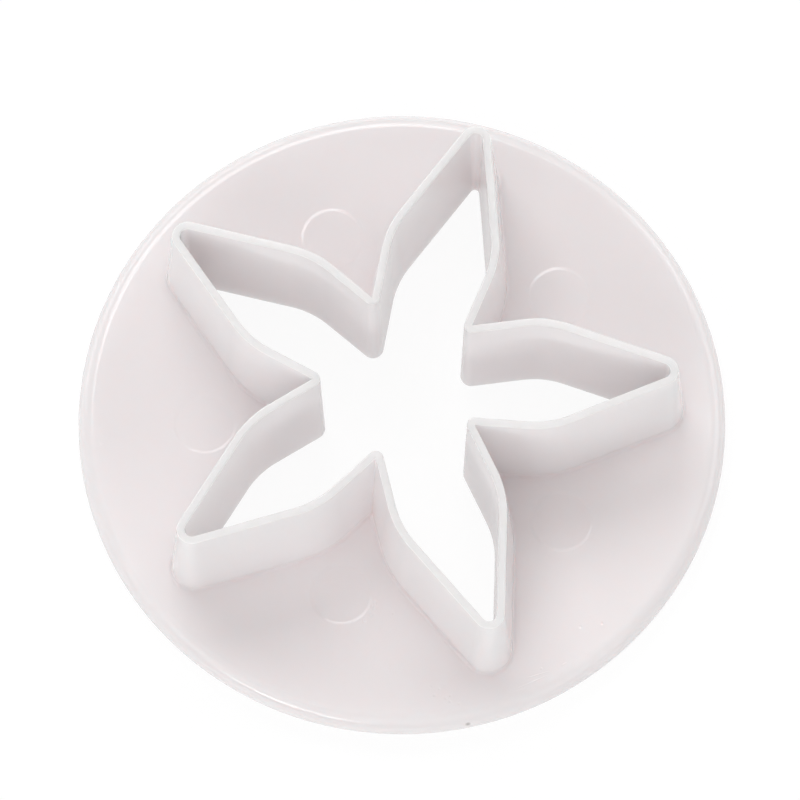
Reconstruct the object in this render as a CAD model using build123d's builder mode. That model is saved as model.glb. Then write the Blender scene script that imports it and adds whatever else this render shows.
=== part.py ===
from build123d import *
from math import cos, radians, sin, tan
import os

# A calyx cutter, moulded in one piece: a round disc with a five-sepalled cutting wall on it.
# Millimetres and degrees. The origin is the middle of the disc's underside, +Z towards the cutting edge.

# The disc, whose rim is fully rounded
disc_diameter = 60.0
disc_thickness = 3.2

# The cutting wall, as its flat top shows it
overall_height = 15.2
wall_thickness = 0.72
sepal_count = 5
first_sepal_angle = 90.0

# The corners of one sepal, on the middle of the wall's thickness. The tip's stays clear of the rim
tip_clearance = 3.2
shoulder_reach = 14.35
shoulder_angle = 20.9
notch_reach = 7.4
tip_radius = 1.05
shoulder_radius = 8.8

# The wall's outside and inside both lean outwards from the opening's axis, each in its own way
outer_draft = 3.8
inner_draft = 1.05
foot_fillet = 0.35
arris_radius = 0.12

# The round marks of the mould's ejector pins, one between each two sepals
mark_diameter = 6.0
mark_reach = 18.2
mark_depth = 0.06

# The cut for the opening runs this far past both ends
overrun = 1.0

sepal_pitch = 360 / sepal_count
notch_angle = sepal_pitch / 2
tip_reach = disc_diameter / 2 - tip_clearance
rim_radius = disc_thickness / 2
os.makedirs("parts", exist_ok=True)


def at_angle(reach, angle):
    """The point at a reach from the middle, in a direction."""
    return Vector(reach * cos(radians(angle)), reach * sin(radians(angle)))


def wall_corners():
    """The corners of the wall's middle line, anticlockwise, each with its radius and the way it bends."""
    corners = []
    for number in range(sepal_count):
        axis = first_sepal_angle + number * sepal_pitch
        corners.append((at_angle(tip_reach, axis), tip_radius, 1))
        corners.append((at_angle(shoulder_reach, axis + shoulder_angle), shoulder_radius, 1))
        corners.append((at_angle(notch_reach, axis + notch_angle), wall_thickness / 2, -1))
        corners.append((at_angle(shoulder_reach, axis + sepal_pitch - shoulder_angle), shoulder_radius, 1))
    return corners


def moved_side(start, end, outward):
    """A straight side moved outwards, as a point and a direction."""
    along = (end - start).normalized()
    return start + along.cross(Vector(0, 0, 1)) * outward, along


def crossing(one_side, other_side):
    """The point where two straight sides meet."""
    (point, along), (other_point, other_along) = one_side, other_side
    distance = (other_point - point).cross(other_along).Z / along.cross(other_along).Z
    return point + along * distance


def calyx_outline(height, outward):
    """The calyx shape at a height, moved outwards from the wall's middle line."""
    corners = wall_corners()
    points = [point for point, radius, bend in corners]
    sides = [moved_side(start, end, outward) for start, end in zip(points, points[1:] + points[:1])]
    moved_points = [crossing(sides[number - 1], side) for number, side in enumerate(sides)]
    moved_radii = [max(radius + bend * outward, 0) for point, radius, bend in corners]
    with BuildSketch(Plane.XY.offset(height)) as outline:
        with BuildLine():
            FilletPolyline(moved_points, radius=moved_radii, close=True)
        make_face()
    return outline.sketch


def outer_shape(height):
    """The outside of the wall at a height, widest at the foot."""
    return calyx_outline(height, wall_thickness / 2 + (overall_height - height) * tan(radians(outer_draft)))


def inner_shape(height):
    """The opening inside the wall at a height, narrowest at the disc's underside."""
    return calyx_outline(height, -wall_thickness / 2 - (overall_height - height) * tan(radians(inner_draft)))


with BuildPart() as cutter_moulding:
    # The disc, turned about its axis
    with BuildSketch(Plane.XZ):
        with BuildLine():
            flat_radius = disc_diameter / 2 - rim_radius
            Line((0, 0), (flat_radius, 0))
            ThreePointArc((flat_radius, 0), (disc_diameter / 2, rim_radius), (flat_radius, disc_thickness))
            Polyline((flat_radius, disc_thickness), (0, disc_thickness), (0, 0))
        make_face()
    revolve(axis=Axis.Z)

    # The outside of the wall, run down through the disc, and the fillet at its foot
    loft([outer_shape(0), outer_shape(overall_height)], ruled=True)
    disc_face = cutter_moulding.faces().filter_by(Plane.XY).sort_by(Axis.Z)[1]
    fillet(disc_face.inner_wires()[0].edges(), radius=foot_fillet)

    # The opening, right through wall and disc
    loft([inner_shape(-overrun), inner_shape(overall_height + overrun)], ruled=True, mode=Mode.SUBTRACT)

    # The small round on both edges of the wall's flat top
    wall_top = cutter_moulding.faces().sort_by(Axis.Z)[-1]
    fillet(wall_top.edges(), radius=arris_radius)

    # The ejector pins' marks, sunk into the disc's face
    with BuildSketch(Plane.XY.offset(disc_thickness)):
        with PolarLocations(mark_reach, sepal_count, start_angle=first_sepal_angle + notch_angle):
            Circle(mark_diameter / 2)
    extrude(amount=-mark_depth, mode=Mode.SUBTRACT)

cutter_moulding.part.label = "cutter_moulding"
export_step(cutter_moulding.part, "parts/cutter_moulding.step")
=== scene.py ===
from math import atan2, cos, pi, radians, sin, tan

import bmesh
import bpy
from bpy.props import FloatProperty, FloatVectorProperty, IntProperty, PointerProperty
from mathutils import Matrix, Vector


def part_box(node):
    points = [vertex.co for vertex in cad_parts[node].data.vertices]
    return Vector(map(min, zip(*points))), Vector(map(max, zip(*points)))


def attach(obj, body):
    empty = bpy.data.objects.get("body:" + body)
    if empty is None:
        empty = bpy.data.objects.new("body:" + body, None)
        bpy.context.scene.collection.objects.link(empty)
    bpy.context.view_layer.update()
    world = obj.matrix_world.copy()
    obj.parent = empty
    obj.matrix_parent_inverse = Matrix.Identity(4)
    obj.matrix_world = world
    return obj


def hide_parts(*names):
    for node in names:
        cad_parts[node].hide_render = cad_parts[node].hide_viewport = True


# The looks of a calyx cutter: one glossy off-white moulding on a light table, under soft boxes.
# Metres, in the CAD model's own frame: the disc's underside is at zero height, one sepal points along +Y.

bl_info = {
    "name": "Calyx cutter",
    "version": (1, 0, 0),
    "blender": (4, 5, 0),
    "location": "3D View > Sidebar > Calyx cutter",
    "description": "Models and lights a one-piece calyx cutter",
    "category": "Object",
}

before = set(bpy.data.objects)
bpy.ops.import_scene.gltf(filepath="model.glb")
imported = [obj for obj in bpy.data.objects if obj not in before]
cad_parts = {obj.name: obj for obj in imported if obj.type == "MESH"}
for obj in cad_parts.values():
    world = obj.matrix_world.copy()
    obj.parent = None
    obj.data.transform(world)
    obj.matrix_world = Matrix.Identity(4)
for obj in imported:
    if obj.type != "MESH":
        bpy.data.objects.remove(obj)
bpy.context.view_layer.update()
NODE = "cutter_moulding"
BODY = "root"
SIDEBAR = "Calyx cutter"
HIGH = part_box(NODE)[1]
MM = 0.001
FIRST_SEPAL_ANGLE = pi / 2

# How finely the curves are divided
TIP_STEPS = 20
SHOULDER_STEPS = 14
NOTCH_STEPS = 12
ARRIS_STEPS = 5
FOOT_STEPS = 10
SIDE_STEPS = 6
RIM_STEPS = 28
DISC_STEPS = 360
MARK_STEPS = 72
MARK_SLOPE_STEPS = 6
FLAW_STEPS = 16
FLAW_SLOPE_STEPS = 4

# The least radius of a notch, and the level run beside a round as a share of its radius
LEAST_NOTCH_RADIUS = 0.04 * MM
FLAT_RUN_SHARE = 1.3

# Points nearer than this are merged. The attribute holds each point's place in its ring
MERGE_DISTANCE = 0.002 * MM
PLACE = "place"

# The faces that lead the shading, by the height of their unit normal: the level ones, and the steep ones
# that lie further than this inside the rim
LEVEL = 0.99999
STEEP = 0.1
RIM_BAND = 1.0 * MM


class CutterSizes(bpy.types.PropertyGroup):
    """The moulding's sizes. The overall ones come from the CAD model."""

    disc_radius: FloatProperty(
        name="Disc radius", description="From the axis to the rounded rim", default=HIGH.x, unit="LENGTH"
    )
    disc_thickness: FloatProperty(
        name="Disc thickness", description="The disc's thickness, which its rim rounds fully",
        default=3.2 * MM, unit="LENGTH",
    )
    overall_height: FloatProperty(
        name="Overall height", description="From the table to the cutting edge", default=HIGH.z, unit="LENGTH"
    )
    wall_thickness: FloatProperty(
        name="Wall thickness", description="Width of the wall's flat top", default=0.72 * MM, unit="LENGTH"
    )
    sepal_count: IntProperty(name="Sepals", description="How many sepals the calyx has", default=5, min=3)
    tip_clearance: FloatProperty(
        name="Tip clearance", description="From a sepal's tip corner to the rim",
        default=3.2 * MM, unit="LENGTH",
    )
    shoulder_reach: FloatProperty(
        name="Shoulder reach", description="From the axis to a sepal's shoulder corner",
        default=14.35 * MM, unit="LENGTH",
    )
    shoulder_angle: FloatProperty(
        name="Shoulder angle", description="Between a sepal's axis and its shoulder corner",
        default=radians(20.9), subtype="ANGLE",
    )
    notch_reach: FloatProperty(
        name="Notch reach", description="From the axis to the corner between two sepals",
        default=7.4 * MM, unit="LENGTH",
    )
    tip_radius: FloatProperty(
        name="Tip radius", description="Corner radius of a tip, on the wall's middle",
        default=1.05 * MM, unit="LENGTH",
    )
    shoulder_radius: FloatProperty(
        name="Shoulder radius", description="Corner radius of a shoulder, on the wall's middle",
        default=8.8 * MM, unit="LENGTH",
    )
    outer_draft: FloatProperty(
        name="Outer draft", description="Lean of the wall's outside", default=radians(3.8), subtype="ANGLE"
    )
    inner_draft: FloatProperty(
        name="Inner draft", description="Lean of the wall's inside", default=radians(1.05), subtype="ANGLE"
    )
    foot_fillet: FloatProperty(
        name="Foot fillet", description="Radius between wall and disc", default=0.35 * MM, unit="LENGTH"
    )
    arris_radius: FloatProperty(
        name="Edge round", description="Round on the wall's top edges", default=0.12 * MM, unit="LENGTH"
    )
    edge_break: FloatProperty(
        name="Lower edge round", description="Round on the opening's lower edge",
        default=0.1 * MM, unit="LENGTH",
    )
    mark_radius: FloatProperty(
        name="Pin mark radius", description="Radius of an ejector pin's mark", default=3.0 * MM, unit="LENGTH"
    )
    mark_reach: FloatProperty(
        name="Pin mark reach", description="From the axis to a mark's middle",
        default=18.2 * MM, unit="LENGTH",
    )
    mark_depth: FloatProperty(
        name="Pin mark depth", description="How deep a mark is sunk", default=0.06 * MM, unit="LENGTH"
    )


class CutterFinish(bpy.types.PropertyGroup):
    """The plastic's colour and gloss."""

    plastic_colour: FloatVectorProperty(
        name="Plastic", description="Body colour of the plastic", subtype="COLOR", size=3,
        default=(0.91, 0.872, 0.878), min=0, max=1,
    )
    cloud_colour: FloatVectorProperty(
        name="Clouds", description="Colour that the plastic drifts to", subtype="COLOR", size=3,
        default=(0.9, 0.862, 0.866), min=0, max=1,
    )
    worn_colour: FloatVectorProperty(
        name="Worn edge", description="Colour of the used cutting edge", subtype="COLOR", size=3,
        default=(0.87, 0.84, 0.815), min=0, max=1,
    )
    fleck_colour: FloatVectorProperty(
        name="Flecks", description="Colour of the dark flecks in the plastic", subtype="COLOR", size=3,
        default=(0.3, 0.28, 0.27), min=0, max=1,
    )
    plastic_roughness: FloatProperty(
        name="Roughness", description="Roughness of the moulded surface", default=0.11, min=0, max=1
    )
    light_depth: FloatProperty(
        name="Light depth", description="How deep light wanders in the plastic",
        default=2.0 * MM, unit="LENGTH",
    )


class StageSettings(bpy.types.PropertyGroup):
    """The table, the lamps and the camera."""

    lamp_share: FloatProperty(
        name="Lamps", description="Power of all lamps against the usual", default=1.0, min=0
    )
    sky_strength: FloatProperty(
        name="Surround light", description="Strength of the light all round", default=0.12, min=0
    )
    table_light: FloatProperty(
        name="Table light", description="The light table's own light", default=0.47, min=0
    )
    camera_azimuth: FloatProperty(
        name="Camera azimuth", description="Camera's turn about the axis",
        default=radians(17.27), subtype="ANGLE",
    )
    camera_elevation: FloatProperty(
        name="Camera elevation", description="Camera's height angle", default=radians(72.26), subtype="ANGLE"
    )


# Shapes in the plane


def rounded_line(points, radii, segments):
    """A line through corners, each rounded with its own radius into its own count of segments."""
    count = len(points)
    rounded = []
    for number, (point, radius, steps) in enumerate(zip(points, radii, segments)):
        point = Vector(point)
        if steps == 0:
            rounded.append(point)
            continue
        before = (point - Vector(points[number - 1])).normalized()
        after = (Vector(points[(number + 1) % count]) - point).normalized()
        turn = atan2(before.x * after.y - before.y * after.x, before.dot(after))
        start = point - before * radius * tan(abs(turn) / 2)
        side = Vector((-before.y, before.x)) * (1 if turn > 0 else -1)
        centre = start + side * radius
        for step in range(steps + 1):
            rounded.append(centre + Matrix.Rotation(turn * step / steps, 2) @ (start - centre))
    return rounded


def moved_corners(points, outward):
    """A closed anticlockwise outline's corners, once its sides have moved outwards."""
    count = len(points)
    sides = []
    for number in range(count):
        along = (points[(number + 1) % count] - points[number]).normalized()
        sides.append((points[number] + Vector((along.y, -along.x)) * outward, along))
    moved = []
    for number in range(count):
        (point, along), (other_point, other_along) = sides[number - 1], sides[number]
        gap = other_point - point
        share = gap.cross(other_along) / along.cross(other_along)
        moved.append(point + along * share)
    return moved


def at_angle(reach, angle):
    """The point at a reach from the axis, in a direction."""
    return Vector((reach * cos(angle), reach * sin(angle)))


def circle(centre, radius, steps):
    """Points round a circle, anticlockwise."""
    return oval(centre, radius, radius, 0, steps)


def oval(centre, half_length, half_width, turn, steps):
    """Points round an oval, anticlockwise, with its length turned off the +X way."""
    points = []
    for step in range(steps):
        angle = 2 * pi * step / steps
        point = Vector((half_length * cos(angle), half_width * sin(angle)))
        points.append(centre + Matrix.Rotation(turn, 2) @ point)
    return points


def sepal_axes(sizes):
    """The direction of each sepal's tip."""
    return [FIRST_SEPAL_ANGLE + 2 * pi * number / sizes.sepal_count for number in range(sizes.sepal_count)]


def wall_corners(sizes):
    """The corners of the wall's middle line, anticlockwise."""
    tip_reach = sizes.disc_radius - sizes.tip_clearance
    half_pitch = pi / sizes.sepal_count
    corners = []
    for axis in sepal_axes(sizes):
        corners.append(at_angle(tip_reach, axis))
        corners.append(at_angle(sizes.shoulder_reach, axis + sizes.shoulder_angle))
        corners.append(at_angle(sizes.notch_reach, axis + half_pitch))
        corners.append(at_angle(sizes.shoulder_reach, axis + 2 * half_pitch - sizes.shoulder_angle))
    return corners


def calyx_outline(sizes, outward):
    """The calyx shape, moved outwards from the wall's middle line."""
    shoulder = sizes.shoulder_radius + outward
    notch = max(sizes.wall_thickness / 2 - outward, LEAST_NOTCH_RADIUS)
    radii = [sizes.tip_radius + outward, shoulder, notch, shoulder] * sizes.sepal_count
    steps = [TIP_STEPS, SHOULDER_STEPS, NOTCH_STEPS, SHOULDER_STEPS] * sizes.sepal_count
    return rounded_line(moved_corners(wall_corners(sizes), outward), radii, steps)


def wall_section(sizes):
    """The section through the wall, from the disc's underside up inside the opening, over the wall's top
    and down to the disc's face. Across is measured outwards from the wall's middle, up from the table."""
    half = sizes.wall_thickness / 2
    inside, outside = tan(sizes.inner_draft), tan(sizes.outer_draft)
    top, face = sizes.overall_height, sizes.disc_thickness
    edge, foot = -half - top * inside, half + (top - face) * outside
    inner_side = [(-half - (top - up) * inside, up) for up in rising(0, top)]
    outer_side = [(half + (top - up) * outside, up) for up in reversed(rising(face, top))]
    corners = [(edge + sizes.edge_break * FLAT_RUN_SHARE, 0), (edge, 0), *inner_side, (-half, top)]
    corners += [(half, top), *outer_side, (foot, face), (foot + sizes.foot_fillet * FLAT_RUN_SHARE, face)]
    plain_in, plain_out = [0] * len(inner_side), [0] * len(outer_side)
    arris = sizes.arris_radius
    radii = [0, sizes.edge_break, *plain_in, arris, arris, *plain_out, sizes.foot_fillet, 0]
    steps = [0, ARRIS_STEPS, *plain_in, ARRIS_STEPS, ARRIS_STEPS, *plain_out, FOOT_STEPS, 0]
    return rounded_line(corners, radii, steps)


def rising(low, high):
    """Heights that divide a wall's side."""
    return [low + (high - low) * step / SIDE_STEPS for step in range(1, SIDE_STEPS)]


def rim_section(sizes):
    """The section of the fully rounded rim, from the disc's face down to its underside: reach and height."""
    radius = sizes.disc_thickness / 2
    middle = Vector((sizes.disc_radius - radius, radius))
    return [middle + at_angle(radius, pi / 2 - pi * step / RIM_STEPS) for step in range(RIM_STEPS + 1)]


# Modelling, as by hand


def deselect_all():
    """Nothing is left selected, the CAD node included."""
    for thing in bpy.context.selected_objects:
        thing.select_set(False)


def place_selected(piece, points, height):
    """Moves each selected point of a ring to its place on an outline."""
    mesh = bmesh.from_edit_mesh(piece.data)
    place = mesh.verts.layers.int[PLACE]
    for vert in mesh.verts:
        if vert.select:
            vert.co = (*points[vert[place]], height)
    bmesh.update_edit_mesh(piece.data)


def ringed_surface(name, rings):
    """A surface through rings, each an outline and a height: a circle, extruded from ring to ring."""
    deselect_all()
    count = len(rings[0][0])
    bpy.ops.mesh.primitive_circle_add(vertices=count)
    piece = bpy.context.object
    piece.name = name
    attribute = piece.data.attributes.new(PLACE, "INT", "POINT")
    attribute.data.foreach_set("value", range(count))
    bpy.ops.object.mode_set(mode="EDIT")
    bpy.ops.mesh.select_all(action="SELECT")
    place_selected(piece, *rings[0])
    for ring in rings[1:]:
        bpy.ops.mesh.extrude_edges_move()
        place_selected(piece, *ring)
    bpy.ops.object.mode_set(mode="OBJECT")
    return piece


def fill_open_edges(piece, height):
    """Closes what lies between the open edges at a height."""
    bpy.ops.object.mode_set(mode="EDIT")
    bpy.ops.mesh.select_mode(type="EDGE")
    bpy.ops.mesh.select_all(action="DESELECT")
    mesh = bmesh.from_edit_mesh(piece.data)
    for edge in mesh.edges:
        level = all(abs(vert.co.z - height) < MERGE_DISTANCE for vert in edge.verts)
        if level and (edge.is_boundary or edge.is_wire):
            edge.select_set(True)
    bmesh.update_edit_mesh(piece.data)
    bpy.ops.mesh.fill(use_beauty=True)
    bpy.ops.mesh.select_mode(type="VERT")
    bpy.ops.object.mode_set(mode="OBJECT")


def join(pieces):
    """Joins pieces into the first."""
    deselect_all()
    for piece in pieces:
        piece.select_set(True)
    bpy.context.view_layer.objects.active = pieces[0]
    bpy.ops.object.join()
    return pieces[0]


def finish_mesh(piece):
    """Merges what meets, turns all faces outwards and smooths the curves. The level faces and the wall's
    sides lead the shading, so that they stay flat up to the rounds beside them."""
    bpy.ops.object.mode_set(mode="EDIT")
    bpy.ops.mesh.select_all(action="SELECT")
    bpy.ops.mesh.remove_doubles(threshold=MERGE_DISTANCE)
    bpy.ops.mesh.normals_make_consistent(inside=False)
    bpy.ops.mesh.select_mode(type="FACE")
    bpy.ops.mesh.select_all(action="DESELECT")
    mesh = bmesh.from_edit_mesh(piece.data)
    for face in mesh.faces:
        rise = abs(face.normal.z)
        within_rim = face.calc_center_median().xy.length < HIGH.x - RIM_BAND
        face.select_set(rise > LEVEL or (rise < STEEP and within_rim))
    bmesh.update_edit_mesh(piece.data)
    bpy.ops.mesh.mod_weighted_strength(set=True, face_strength="STRONG")
    bpy.ops.mesh.select_mode(type="VERT")
    bpy.ops.object.mode_set(mode="OBJECT")
    piece.data.attributes.remove(piece.data.attributes[PLACE])
    bpy.ops.object.shade_smooth()
    bpy.ops.object.modifier_add(type="WEIGHTED_NORMAL")
    weighted = piece.modifiers[-1]
    weighted.mode = "CORNER_ANGLE"
    weighted.use_face_influence = True
    bpy.ops.object.modifier_apply(modifier=weighted.name)


# The moulding's parts


def make_wall(sizes):
    """The cutting wall with its opening and foot fillet, from the opening's lower edge to the disc's face."""
    return ringed_surface("wall", [(calyx_outline(sizes, across), up) for across, up in wall_section(sizes)])


def make_rim(sizes):
    """The disc's fully rounded rim."""
    middle = Vector((0, 0))
    rings = [(circle(middle, reach, DISC_STEPS), up) for reach, up in rim_section(sizes)]
    return ringed_surface("rim", rings)


def make_place(name, face_height, centre, half_sizes, turn, slope, depth, steps, slope_steps):
    """A small oval place in the disc's face, sunk or standing a little, with a soft step at its edge."""
    rings = []
    for step in range(slope_steps + 1):
        share = step / slope_steps
        drop = depth * (1 - cos(pi * share)) / 2
        half_length, half_width = [half - slope * share for half in half_sizes]
        rings.append((oval(centre, half_length, half_width, turn, steps), face_height - drop))
    place = ringed_surface(name, rings)
    fill_open_edges(place, face_height - depth)
    return place


# The width of the step at a mark's edge
MARK_SLOPE = 0.42 * MM
# Where each mark lies: its reach less the usual one, its turn off the middle between two sepals, and its
# depth as a share of the usual one, negative where the mark stands up
MARKS = [
    (0.4 * MM, radians(1.0), -1.0),
    (0.0, radians(0.7), 0.6),
    (-0.2 * MM, radians(-1.4), 0.8),
    (-0.3 * MM, 0.0, 1.0),
    (0.5 * MM, radians(1.1), -1.0),
]


def make_marks(sizes):
    """The ejector pins' marks, one between each two sepals."""
    marks = []
    radius = sizes.mark_radius
    for axis, (further, turn, depth_share) in zip(sepal_axes(sizes), MARKS):
        centre = at_angle(sizes.mark_reach + further, axis + pi / sizes.sepal_count + turn)
        depth = sizes.mark_depth * depth_share
        place = (centre, (radius, radius), 0, MARK_SLOPE, depth, MARK_STEPS, MARK_SLOPE_STEPS)
        marks.append(make_place("pin_mark", sizes.disc_thickness, *place))
    return marks


# Small flaws of the moulding in the disc's face, in millimetres and degrees: the middle, half the length
# and width, the turn, and the depth or, where it is negative, the height
FLAWS = [
    ((-25.90, -10.50), (0.20, 0.20), 0, 0.03),
    ((-19.53, -1.61), (0.17, 0.17), 0, 0.02),
    ((5.79, -23.57), (0.45, 0.08), -76, 0.02),
    ((10.53, -24.81), (0.20, 0.20), 0, -0.03),
    ((11.94, -24.43), (0.20, 0.20), 0, -0.03),
    ((11.62, -24.78), (0.20, 0.20), 0, -0.02),
    ((12.07, -24.97), (0.20, 0.20), 0, -0.02),
    ((12.93, -24.95), (0.20, 0.20), 0, -0.03),
    ((9.94, -24.15), (0.18, 0.18), 0, 0.02),
    ((10.77, -24.09), (0.16, 0.16), 0, -0.02),
    ((21.48, -14.77), (0.22, 0.22), 0, 0.03),
    ((23.29, -13.86), (0.22, 0.22), 0, 0.04),
    ((19.23, -19.60), (0.16, 0.16), 0, -0.02),
    ((18.73, -21.08), (1.71, 0.07), 41, -0.01),
    ((19.07, -20.23), (1.12, 0.07), 34, -0.01),
    ((21.06, -18.60), (0.31, 0.10), 50, -0.015),
    ((2.82, -17.91), (0.24, 0.24), 0, -0.05),
    ((2.78, -18.43), (0.24, 0.24), 0, -0.05),
    ((2.79, -19.17), (0.26, 0.26), 0, -0.06),
    ((2.34, -19.86), (0.28, 0.28), 0, -0.06),
    ((4.65, -18.40), (0.17, 0.17), 0, -0.03),
    ((3.06, -15.85), (0.17, 0.17), 0, -0.02),
]
# The step at a flaw's edge, as a share of half its width
FLAW_SLOPE_SHARE = 0.85


def make_flaws(sizes):
    """The pits, specks and fine ridges that the mould left in the disc's face."""
    flaws = []
    for middle, half_sizes, turn, depth in FLAWS:
        slope = min(half_sizes) * FLAW_SLOPE_SHARE * MM
        shape = (Vector(middle) * MM, [half * MM for half in half_sizes], radians(turn), slope, depth * MM)
        flaws.append(make_place("flaw", sizes.disc_thickness, *shape, FLAW_STEPS, FLAW_SLOPE_STEPS))
    return flaws


# Finishes

# The plastic's noises: features to the metre, and how finely each is detailed
CLOUDS = (55, 3)
PATCHES = (700, 4)
SKIN = (1100, 2)
FLOW = (420, 2)
HAIRS = (150, 5)
# The part of a noise's range that is spread out, and the least strength of wear between patches
CLOUD_RANGE = (0.35, 0.65)
PATCH_RANGE = (0.4, 0.6)
LEAST_PATCH = 0.3
# How far the flow lines and hairlines are drawn out round the disc, and how fine the hairlines are
FLOW_TURN_WEIGHT = 0.004
HAIR_TURN_WEIGHT = 0.02
NOISE_MIDDLE = 0.5
HAIR_SHARE = 0.0025
# Heights in millimetres
SKIN_RELIEF = 0.0015
FLOW_RELIEF = 0.002
HAIR_RELIEF = 0.0008
# The cutting edge's wear, and what else changes the gloss
WORN_HEIGHT = 0.35 * MM
WEAR_TINT = 0.5
WEAR_ROUGHNESS = 0.12
HAIR_ROUGHNESS = 0.06
ROUGHNESS_SPREAD = 0.1
PLASTIC_IOR = 1.5
# Red light wanders furthest in the plastic
DEPTH_BY_COLOUR = (1, 0.9, 0.88)
# Dark flecks in the plastic, on the wall's outside and on the rim: middle and radius in millimetres
FLECKS = [((-3.31, -14.64, 7.4), 0.16), ((14.18, -26.31, 2.2), 0.3)]
FLECK_CORE_SHARE = 0.3
FLECK_TINT = 0.6


def add_node(tree, kind, **inputs):
    """A node with its inputs set. Names use underscores for spaces."""
    node = tree.nodes.new(kind)
    for name, value in inputs.items():
        node.inputs[name.replace("_", " ")].default_value = value
    return node


def noise(tree, place, scale, detail):
    """A noise from 0 to 1 over coordinates. Its scale counts features to the metre."""
    texture = add_node(tree, "ShaderNodeTexNoise", Scale=scale, Detail=detail)
    tree.links.new(place, texture.inputs["Vector"])
    return texture.outputs["Fac"]


def ranged(tree, value, low, high, to_low, to_high):
    """A value led from one range to another, and kept inside it."""
    node = add_node(tree, "ShaderNodeMapRange", From_Min=low, From_Max=high, To_Min=to_low, To_Max=to_high)
    tree.links.new(value, node.inputs["Value"])
    return node.outputs["Result"]


def worked(tree, operation, value, other=None):
    """A value worked on by a math operation, alone, with a plain number or with another value."""
    node = tree.nodes.new("ShaderNodeMath")
    node.operation = operation
    tree.links.new(value, node.inputs[0])
    if isinstance(other, bpy.types.NodeSocket):
        tree.links.new(other, node.inputs[1])
    elif other is not None:
        node.inputs[1].default_value = other
    return node.outputs[0]


def mixed(tree, share, colour, other):
    """A colour, plain or from another node, mixed with a plain one."""
    node = tree.nodes.new("ShaderNodeMix")
    node.data_type = "RGBA"
    first, second = [socket for socket in node.inputs if socket.type == "RGBA"]
    tree.links.new(share, node.inputs[0])
    if isinstance(colour, bpy.types.NodeSocket):
        tree.links.new(colour, first)
    else:
        first.default_value = (*colour, 1)
    second.default_value = (*other, 1)
    return [socket for socket in node.outputs if socket.type == "RGBA"][0]


def round_the_axis(tree, place, turn_weight):
    """Coordinates that follow the disc: the reach from the axis, and the turn about it with a weight."""
    split = tree.nodes.new("ShaderNodeSeparateXYZ")
    joined = tree.nodes.new("ShaderNodeCombineXYZ")
    tree.links.new(place, split.inputs[0])
    across, along = split.outputs["X"], split.outputs["Y"]
    squares = [worked(tree, "MULTIPLY", side, side) for side in (across, along)]
    reach = worked(tree, "SQRT", worked(tree, "ADD", *squares))
    turn = worked(tree, "ARCTAN2", along, across)
    tree.links.new(reach, joined.inputs["X"])
    tree.links.new(worked(tree, "MULTIPLY", turn, turn_weight), joined.inputs["Y"])
    tree.links.new(split.outputs["Z"], joined.inputs["Z"])
    return joined.outputs[0]


def flecks(tree, place):
    """A mask of the dark flecks in the plastic."""
    mask = None
    for middle, radius in FLECKS:
        gap = tree.nodes.new("ShaderNodeVectorMath")
        gap.operation = "DISTANCE"
        tree.links.new(place, gap.inputs[0])
        gap.inputs[1].default_value = Vector(middle) * MM
        fleck = ranged(tree, gap.outputs["Value"], radius * MM * FLECK_CORE_SHARE, radius * MM, 1, 0)
        mask = fleck if mask is None else worked(tree, "MAXIMUM", mask, fleck)
    return mask


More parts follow.
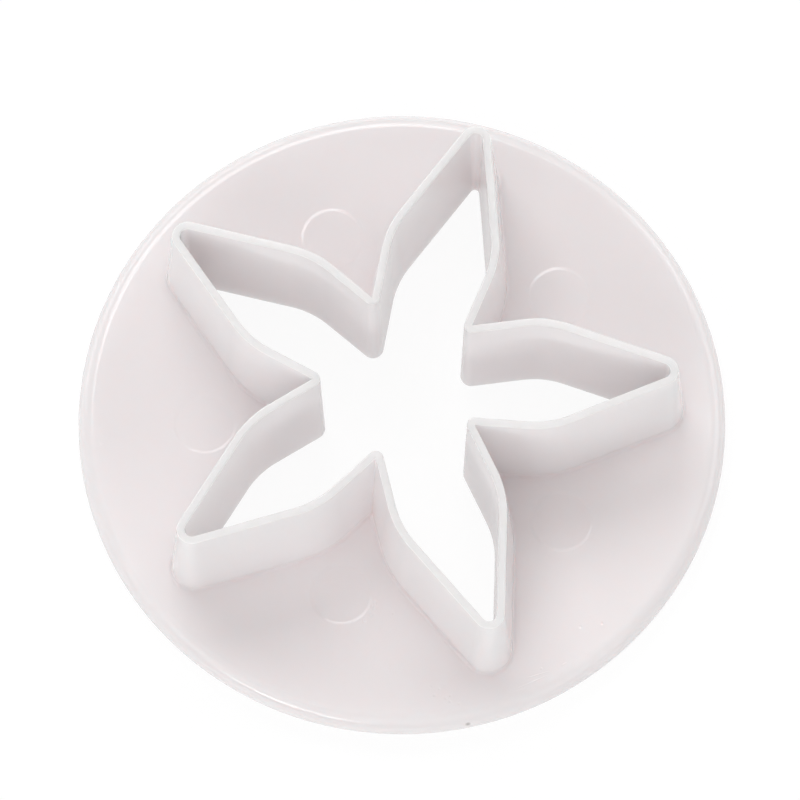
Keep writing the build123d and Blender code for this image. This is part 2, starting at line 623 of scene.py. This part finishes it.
def plastic_material(finish, sizes):
    """Translucent off-white plastic. Colour and gloss drift a little, the mould left a fine skin and faint
    flow lines round the disc, and use has left hairlines, and dulled and yellowed the cutting edge."""
    material = bpy.data.materials.new("moulded_plastic")
    material.use_nodes = True
    tree = material.node_tree
    shader = tree.nodes["Principled BSDF"]
    place = tree.nodes.new("ShaderNodeTexCoord").outputs["Object"]
    split = tree.nodes.new("ShaderNodeSeparateXYZ")
    tree.links.new(place, split.inputs[0])

    clouds = ranged(tree, noise(tree, place, *CLOUDS), *CLOUD_RANGE, 0, 1)
    patches = ranged(tree, noise(tree, place, *PATCHES), *PATCH_RANGE, LEAST_PATCH, 1)
    edge = ranged(tree, split.outputs["Z"], sizes.overall_height - WORN_HEIGHT, sizes.overall_height, 0, 1)
    wear = worked(tree, "MULTIPLY", edge, patches)
    flow = noise(tree, round_the_axis(tree, place, FLOW_TURN_WEIGHT), *FLOW)
    skin = noise(tree, place, *SKIN)
    swirl = noise(tree, round_the_axis(tree, place, HAIR_TURN_WEIGHT), *HAIRS)
    off_line = worked(tree, "ABSOLUTE", worked(tree, "SUBTRACT", swirl, NOISE_MIDDLE))
    hairs = worked(tree, "MULTIPLY", ranged(tree, off_line, 0, HAIR_SHARE, 1, 0), patches)

    colour = mixed(tree, clouds, finish.plastic_colour, finish.cloud_colour)
    colour = mixed(tree, worked(tree, "MULTIPLY", wear, WEAR_TINT), colour, finish.worn_colour)
    spots = worked(tree, "MULTIPLY", flecks(tree, place), FLECK_TINT)
    colour = mixed(tree, spots, colour, finish.fleck_colour)
    tree.links.new(colour, shader.inputs["Base Color"])

    roughness = finish.plastic_roughness
    gloss = ranged(tree, clouds, 0, 1, roughness * (1 - ROUGHNESS_SPREAD), roughness * (1 + ROUGHNESS_SPREAD))
    gloss = worked(tree, "ADD", gloss, worked(tree, "MULTIPLY", wear, WEAR_ROUGHNESS))
    gloss = worked(tree, "ADD", gloss, worked(tree, "MULTIPLY", hairs, HAIR_ROUGHNESS))
    tree.links.new(gloss, shader.inputs["Roughness"])

    relief = worked(tree, "MULTIPLY", skin, SKIN_RELIEF)
    relief = worked(tree, "ADD", relief, worked(tree, "MULTIPLY", flow, FLOW_RELIEF))
    relief = worked(tree, "SUBTRACT", relief, worked(tree, "MULTIPLY", hairs, HAIR_RELIEF))
    bump = add_node(tree, "ShaderNodeBump", Distance=MM)
    tree.links.new(relief, bump.inputs["Height"])
    tree.links.new(bump.outputs[0], shader.inputs["Normal"])

    shader.inputs["IOR"].default_value = PLASTIC_IOR
    shader.inputs["Subsurface Weight"].default_value = 1
    shader.inputs["Subsurface Radius"].default_value = DEPTH_BY_COLOUR
    shader.inputs["Subsurface Scale"].default_value = finish.light_depth
    return material


# The table's grey for the light that falls on it. To the camera it has its own grey and glow
TABLE_GREY = 0.45
SEEN_TABLE_GREY = 0.12
SEEN_TABLE_GLOW = 0.9


def table_material(table_light):
    """A light table that the camera sees as white, with a trace of the cutter's shadow. From below it isn't
    seen. It isn't sampled as a lamp, or its two triangles would show on the cutter's underside."""
    material = bpy.data.materials.new("white_table")
    material.cycles.emission_sampling = "NONE"
    material.use_nodes = True
    tree = material.node_tree
    tree.nodes.clear()
    output = tree.nodes.new("ShaderNodeOutputMaterial")
    path = tree.nodes.new("ShaderNodeLightPath")
    mix = tree.nodes.new("ShaderNodeMixShader")
    looks = ((TABLE_GREY, table_light), (SEEN_TABLE_GREY, SEEN_TABLE_GLOW))
    for number, (grey, strength) in enumerate(looks):
        plain = add_node(tree, "ShaderNodeBsdfDiffuse", Color=(grey, grey, grey, 1))
        glow = add_node(tree, "ShaderNodeEmission", Strength=strength)
        both = tree.nodes.new("ShaderNodeAddShader")
        tree.links.new(plain.outputs[0], both.inputs[0])
        tree.links.new(glow.outputs[0], both.inputs[1])
        tree.links.new(both.outputs[0], mix.inputs[number + 1])
    tree.links.new(path.outputs["Is Camera Ray"], mix.inputs[0])
    sided = tree.nodes.new("ShaderNodeMixShader")
    tree.links.new(tree.nodes.new("ShaderNodeNewGeometry").outputs["Backfacing"], sided.inputs[0])
    tree.links.new(mix.outputs[0], sided.inputs[1])
    tree.links.new(tree.nodes.new("ShaderNodeBsdfTransparent").outputs[0], sided.inputs[2])
    tree.links.new(sided.outputs[0], output.inputs["Surface"])
    return material


# The stage

TABLE_SIZE = 4
TABLE_DROP = 0.05 * MM
LAMP_DISTANCE = 0.8
# The soft boxes: azimuth and height angle in degrees, width and height in metres, power in watts
LAMPS = {
    "key_lamp": (217, 53, 0.5, 0.35, 1.96),
    "overhead_lamp": (17, 88, 0.9, 0.6, 0.97),
    "front_lamp": (2, 38, 1.0, 0.6, 1.9),
    "front_strip": (352, 21, 0.5, 0.05, 1.0),
    "right_lamp": (60, 26, 0.4, 0.4, 0.58),
    "back_right_lamp": (135, 26, 0.8, 0.4, 1.6),
    "back_lamp": (174, 40, 0.6, 0.4, 0.7),
    "low_lamp": (240, 12, 0.8, 0.2, 1.2),
    "left_lamp": (312, 38, 0.35, 0.35, 0.4),
}
# The camera's roll, its aim to the right and upwards, its distance, and its lens and sensor in millimetres
CAMERA_ROLL = radians(-0.668)
AIM_RIGHT = -0.177 * MM
AIM_UP = 2.492 * MM
CAMERA_DISTANCE = 743.6 * MM
LENS = 360
SENSOR_WIDTH = 36


def direction(azimuth, elevation):
    """The way from the cutter to a place at an azimuth and a height angle. Azimuth 0 is towards -Y."""
    return Vector((sin(azimuth) * cos(elevation), -cos(azimuth) * cos(elevation), sin(elevation)))


def add_lamp(name, azimuth, elevation, width, height, power):
    """A soft box that looks at the cutter."""
    towards = direction(radians(azimuth), radians(elevation))
    bpy.ops.object.light_add(type="AREA", location=towards * LAMP_DISTANCE)
    lamp = bpy.context.object
    lamp.name = name
    lamp.rotation_euler = towards.to_track_quat("Z", "Y").to_euler()
    lamp.data.shape = "RECTANGLE"
    lamp.data.size = width
    lamp.data.size_y = height
    lamp.data.energy = power
    return lamp


def add_camera(stage):
    """The camera at the photograph's viewing angle."""
    back = direction(stage.camera_azimuth, stage.camera_elevation)
    right = Vector((cos(stage.camera_azimuth), sin(stage.camera_azimuth), 0))
    up = back.cross(right)
    straight, sideways = cos(CAMERA_ROLL), sin(CAMERA_ROLL)
    right, up = straight * right + sideways * up, straight * up - sideways * right
    aim = right * AIM_RIGHT + up * AIM_UP
    bpy.ops.object.camera_add()
    camera = bpy.context.object
    turned = Matrix((right, up, back)).transposed().to_4x4()
    camera.matrix_world = Matrix.Translation(aim + back * CAMERA_DISTANCE) @ turned
    camera.data.sensor_width = SENSOR_WIDTH
    camera.data.lens = LENS
    bpy.context.scene.camera = camera


class CALYX_OT_moulding(bpy.types.Operator):
    """Model the moulding and give it its plastic"""

    bl_idname = "calyx.moulding"
    bl_label = "Moulding"

    def execute(self, context):
        sizes = context.scene.cutter_sizes
        moulding = join([make_wall(sizes), make_rim(sizes), *make_marks(sizes), *make_flaws(sizes)])
        moulding.name = "calyx_moulding"
        fill_open_edges(moulding, sizes.disc_thickness)
        fill_open_edges(moulding, 0)
        finish_mesh(moulding)
        moulding.data.materials.append(plastic_material(context.scene.cutter_finish, sizes))
        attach(moulding, BODY)
        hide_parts(NODE)
        return {"FINISHED"}


class CALYX_OT_stage(bpy.types.Operator):
    """Set the table, the lamps and the camera"""

    bl_idname = "calyx.stage"
    bl_label = "Stage"

    def execute(self, context):
        stage = context.scene.stage_settings
        deselect_all()
        bpy.ops.mesh.primitive_plane_add(size=TABLE_SIZE, location=(0, 0, -TABLE_DROP))
        table = context.object
        table.name = "table"
        table.data.materials.append(table_material(stage.table_light))
        world = bpy.data.worlds.new("surround")
        context.scene.world = world
        world.use_nodes = True
        tree = world.node_tree
        background = tree.nodes["Background"]
        background.inputs["Color"].default_value = (1, 1, 1, 1)
        seen = tree.nodes.new("ShaderNodeLightPath").outputs["Is Camera Ray"]
        tree.links.new(ranged(tree, seen, 0, 1, stage.sky_strength, 1), background.inputs["Strength"])
        for name, (azimuth, elevation, width, height, power) in LAMPS.items():
            add_lamp(name, azimuth, elevation, width, height, power * stage.lamp_share)
        add_camera(stage)
        context.scene.view_settings.view_transform = "Standard"
        return {"FINISHED"}


class CALYX_PT_panel(bpy.types.Panel):
    """The cutter's panel in the 3D view's sidebar"""

    bl_label = SIDEBAR
    bl_space_type = "VIEW_3D"
    bl_region_type = "UI"
    bl_category = SIDEBAR

    def draw(self, context):
        layout = self.layout
        for group in (context.scene.cutter_sizes, context.scene.cutter_finish, context.scene.stage_settings):
            for name in group.bl_rna.properties.keys():
                if name not in ("rna_type", "name"):
                    layout.prop(group, name)
        layout.operator(CALYX_OT_moulding.bl_idname)
        layout.operator(CALYX_OT_stage.bl_idname)


CLASSES = (CutterSizes, CutterFinish, StageSettings, CALYX_OT_moulding, CALYX_OT_stage, CALYX_PT_panel)


def register():
    """Makes the classes and the settings known."""
    for known in CLASSES:
        bpy.utils.register_class(known)
    bpy.types.Scene.cutter_sizes = PointerProperty(type=CutterSizes)
    bpy.types.Scene.cutter_finish = PointerProperty(type=CutterFinish)
    bpy.types.Scene.stage_settings = PointerProperty(type=StageSettings)


def unregister():
    """Takes back what register made known."""
    del bpy.types.Scene.cutter_sizes
    del bpy.types.Scene.cutter_finish
    del bpy.types.Scene.stage_settings
    for known in reversed(CLASSES):
        bpy.utils.unregister_class(known)


def main():
    """Builds the cutter and the stage."""
    register()
    bpy.ops.calyx.moulding()
    bpy.ops.calyx.stage()


if __name__ == "__main__":
    main()
